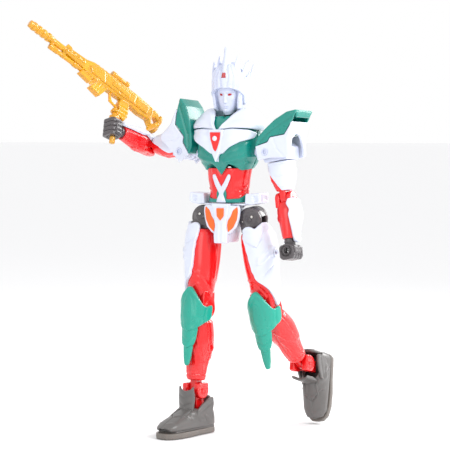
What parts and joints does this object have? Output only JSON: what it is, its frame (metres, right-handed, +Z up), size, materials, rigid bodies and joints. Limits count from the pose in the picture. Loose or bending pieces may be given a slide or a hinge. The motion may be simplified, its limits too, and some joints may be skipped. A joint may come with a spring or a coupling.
{
  "type": "action figure",
  "caption": "Jointed plastic action figure, standing with one leg back and holding a toy rifle out: pinned limb shells, armour plates, open shoulder pads and a fist that grips accessories.",
  "frame": {"origin": "on the ground, in the middle of the right sole, which the figure stands on", "axes": "+Z up; the figure faces -Y and its left side is +X"},
  "size_m": [0.1786, 0.153, 0.2872],
  "materials": {
    "white_plastic": "satin white",
    "red_plastic": "glossy red",
    "teal_plastic": "satin teal green",
    "green_plastic": "satin green",
    "lavender_plastic": "satin pale lavender",
    "orange_plastic": "satin orange",
    "dark_green_plastic": "satin",
    "dark_red_lens": "glossy dark red",
    "dark_grey_plastic": "satin dark grey",
    "boot_plastic": "satin warm grey",
    "sole_plastic": "satin warm grey",
    "screw_steel": "nickel",
    "clear_orange": "see-through amber"
  },
  "bodies": {
    "pelvis": {"pelvis_front_shell": "white_plastic", "pelvis_rear_shell": "white_plastic", "pelvis_insets": "orange_plastic", "belt_plate": "white_plastic"},
    "torso": {"abdomen_front_shell": "red_plastic", "abdomen_rear_shell": "red_plastic", "abdomen_trim": "white_plastic", "belly_panel": "teal_plastic", "chest_front_shell": "teal_plastic", "chest_rear_shell": "teal_plastic", "chest_armour": "white_plastic", "chest_emblem": "red_plastic"},
    "neck": {"neck_post": "dark_green_plastic"},
    "head": {"helmet_shell": "lavender_plastic", "helmet_fins": "lavender_plastic", "face_plate": "lavender_plastic", "head_lenses": "dark_red_lens"},
    "left_hip_hub": {"left_hip_hub": "dark_grey_plastic"},
    "left_hip_block": {"left_hip_block": "dark_grey_plastic"},
    "left_thigh": {"left_thigh_shell": "red_plastic", "left_thigh_armour": "white_plastic", "left_knee_guard": "green_plastic"},
    "left_shin": {"left_shin_shell": "red_plastic", "left_shin_screw": "screw_steel"},
    "left_ankle": {"left_ankle_block": "red_plastic"},
    "left_boot": {"left_boot_upper": "boot_plastic", "left_boot_sole": "sole_plastic"},
    "left_shoulder_hub": {"left_shoulder_hub": "lavender_plastic"},
    "left_shoulder": {"left_shoulder_link": "lavender_plastic"},
    "left_shoulder_pad": {"left_shoulder_bracket": "white_plastic", "left_pauldron": "teal_plastic"},
    "left_upper_arm": {"left_upper_arm_inner": "red_plastic", "left_upper_arm_outer": "white_plastic", "left_upper_arm_screw": "screw_steel"},
    "left_forearm": {"left_forearm_shell": "red_plastic", "left_forearm_armour": "white_plastic", "left_forearm_screw": "screw_steel"},
    "left_hand": {"left_hand": "dark_grey_plastic"},
    "right_hip_hub": {"right_hip_hub": "dark_grey_plastic"},
    "right_hip_block": {"right_hip_block": "dark_grey_plastic"},
    "right_thigh": {"right_thigh_shell": "red_plastic", "right_thigh_armour": "white_plastic", "right_knee_guard": "green_plastic"},
    "right_shin": {"right_shin_shell": "red_plastic", "right_shin_screw": "screw_steel"},
    "right_ankle": {"right_ankle_block": "red_plastic"},
    "right_boot": {"right_boot_upper": "boot_plastic", "right_boot_sole": "sole_plastic"},
    "right_shoulder_hub": {"right_shoulder_hub": "lavender_plastic"},
    "right_shoulder": {"right_shoulder_link": "lavender_plastic"},
    "right_shoulder_pad": {"right_shoulder_bracket": "white_plastic", "right_pauldron": "teal_plastic"},
    "right_upper_arm": {"right_upper_arm_inner": "red_plastic", "right_upper_arm_outer": "white_plastic", "right_upper_arm_screw": "screw_steel"},
    "right_forearm": {"right_forearm_shell": "red_plastic", "right_forearm_armour": "white_plastic", "right_forearm_screw": "screw_steel"},
    "right_hand": {"right_hand": "dark_grey_plastic"},
    "rifle": {"rifle": "clear_orange"}
  },
  "joints": [
    {"name": "waist", "type": "hinge", "parent": "pelvis", "child": "torso", "pos_m": [0.02017, 0.02882, 0.16277], "axis": [0, 0, 1], "range_deg": [-35, 35]},
    {"name": "neck_turn", "type": "hinge", "parent": "torso", "child": "neck", "pos_m": [0.02031, 0.03082, 0.21977], "axis": [0, 0, 1], "range_deg": [-60, 60]},
    {"name": "head_nod", "type": "hinge", "parent": "neck", "child": "head", "pos_m": [0.02031, 0.03082, 0.22577], "axis": [0.9945, 0.1045, 0], "range_deg": [-12, 12]},
    {"name": "left_hip_swing", "type": "hinge", "parent": "pelvis", "child": "left_hip_hub", "pos_m": [0.03867, 0.02882, 0.14977], "axis": [-1, 0, 0], "range_deg": [-25, 55]},
    {"name": "left_hip_spread", "type": "hinge", "parent": "left_hip_hub", "child": "left_hip_block", "pos_m": [0.03867, 0.02882, 0.14977], "axis": [0, -0.9962, -0.0872], "range_deg": [-4, 22]},
    {"name": "left_thigh_turn", "type": "hinge", "parent": "left_hip_block", "child": "left_thigh", "pos_m": [0.03867, 0.02882, 0.14977], "axis": [-0.1219, -0.0865, 0.9888], "range_deg": [-15, 20]},
    {"name": "left_knee", "type": "hinge", "parent": "left_thigh", "child": "left_shin", "pos_m": [0.04647, 0.03436, 0.08649], "axis": [0.9871, -0.1147, 0.1116], "range_deg": [-37, 40]},
    {"name": "left_ankle", "type": "hinge", "parent": "left_shin", "child": "left_ankle", "pos_m": [0.05557, 0.07195, 0.04462], "axis": [0.9871, -0.1147, 0.1116], "range_deg": [-48, 4]},
    {"name": "left_boot_tilt", "type": "hinge", "parent": "left_ankle", "child": "left_boot", "pos_m": [0.0573, 0.08326, 0.041], "axis": [-0.0706, 0.3136, 0.9469], "range_deg": [-12, 10]},
    {"name": "left_shoulder_swing", "type": "hinge", "parent": "torso", "child": "left_shoulder_hub", "pos_m": [0.05509, 0.02638, 0.19577], "axis": [-0.9976, 0.0698, 0], "range_deg": [-40, 100]},
    {"name": "left_arm_raise", "type": "hinge", "parent": "left_shoulder_hub", "child": "left_shoulder", "pos_m": [0.05509, 0.02638, 0.19577], "axis": [-0.0697, -0.997, 0.0349], "range_deg": [-8, 75]},
    {"name": "left_pad_lift", "type": "hinge", "parent": "left_shoulder_hub", "child": "left_shoulder_pad", "pos_m": [0.05509, 0.02638, 0.19577], "axis": [-0.0697, -0.997, 0.0349], "range_deg": [-4, 37.5]},
    {"name": "left_upper_arm_turn", "type": "hinge", "parent": "left_shoulder", "child": "left_upper_arm", "pos_m": [0.06, 0.02607, 0.19664], "axis": [-0.1708, 0.0464, 0.9842], "range_deg": [-60, 60]},
    {"name": "left_elbow", "type": "hinge", "parent": "left_upper_arm", "child": "left_forearm", "pos_m": [0.06564, 0.02454, 0.16416], "axis": [-0.9828, 0.0627, -0.1735], "range_deg": [-4, 76]},
    {"name": "left_wrist", "type": "hinge", "parent": "left_forearm", "child": "left_hand", "pos_m": [0.07044, 0.02118, 0.13576], "axis": [-0.1655, 0.1158, 0.9794], "range_deg": [-90, 90]},
    {"name": "right_hip_swing", "type": "hinge", "parent": "pelvis", "child": "right_hip_hub", "pos_m": [0.00167, 0.02882, 0.14977], "axis": [-1, 0, 0], "range_deg": [-35, 42]},
    {"name": "right_hip_spread", "type": "hinge", "parent": "right_hip_hub", "child": "right_hip_block", "pos_m": [0.00167, 0.02882, 0.14977], "axis": [0, 0.9877, -0.1564], "range_deg": [-2, 28]},
    {"name": "right_thigh_turn", "type": "hinge", "parent": "right_hip_block", "child": "right_thigh", "pos_m": [0.00167, 0.02882, 0.14977], "axis": [0, -0.1564, -0.9877], "range_deg": [-20, 15]},
    {"name": "right_knee", "type": "hinge", "parent": "right_thigh", "child": "right_shin", "pos_m": [0.00167, 0.01881, 0.08656], "axis": [0.9781, -0.2054, 0.0325], "range_deg": [-2, 70]},
    {"name": "right_ankle", "type": "hinge", "parent": "right_shin", "child": "right_ankle", "pos_m": [0.00208, 0.01182, 0.02999], "axis": [0.9781, -0.2054, 0.0325], "range_deg": [-22, 25]},
    {"name": "right_boot_tilt", "type": "hinge", "parent": "right_ankle", "child": "right_boot", "pos_m": [0.00247, 0.01174, 0.018], "axis": [-0.2055, -0.9787, 0], "range_deg": [-8, 12]},
    {"name": "right_shoulder_swing", "type": "hinge", "parent": "torso", "child": "right_shoulder_hub", "pos_m": [-0.01474, 0.03127, 0.19577], "axis": [-0.9976, 0.0698, 0], "range_deg": [-60, 45]},
    {"name": "right_arm_raise", "type": "hinge", "parent": "right_shoulder_hub", "child": "right_shoulder", "pos_m": [-0.01474, 0.03127, 0.19577], "axis": [0.0697, 0.9962, -0.0523], "range_deg": [-85, 5]},
    {"name": "right_pad_lift", "type": "hinge", "parent": "right_shoulder_hub", "child": "right_shoulder_pad", "pos_m": [-0.01474, 0.03127, 0.19577], "axis": [0.0697, 0.9962, -0.0523], "range_deg": [-42.5, 2.5]},
    {"name": "right_upper_arm_turn", "type": "hinge", "parent": "right_shoulder", "child": "right_upper_arm", "pos_m": [-0.0149, 0.03154, 0.20076], "axis": [-0.9971, 0.0679, -0.0349], "range_deg": [-60, 60]},
    {"name": "right_elbow", "type": "hinge", "parent": "right_upper_arm", "child": "right_forearm", "pos_m": [-0.0478, 0.03378, 0.19961], "axis": [-0.0081, 0.3598, 0.933], "range_deg": [-75, 4]},
    {"name": "right_wrist", "type": "hinge", "parent": "right_forearm", "child": "right_hand", "pos_m": [-0.05645, 0.00793, 0.20951], "axis": [-0.2982, -0.8914, 0.3412], "range_deg": [-10, 50]},
    {"name": "rifle_turn", "type": "hinge", "parent": "right_hand", "child": "rifle", "pos_m": [-0.05854, 0.00169, 0.2119], "axis": [0.1409, -0.3946, -0.908], "range_deg": [-4, 24]}
  ],
  "couplings": [
    {"joint": "left_pad_lift", "follows": "left_arm_raise", "ratio": 0.5},
    {"joint": "right_pad_lift", "follows": "right_arm_raise", "ratio": 0.5}
  ]
}
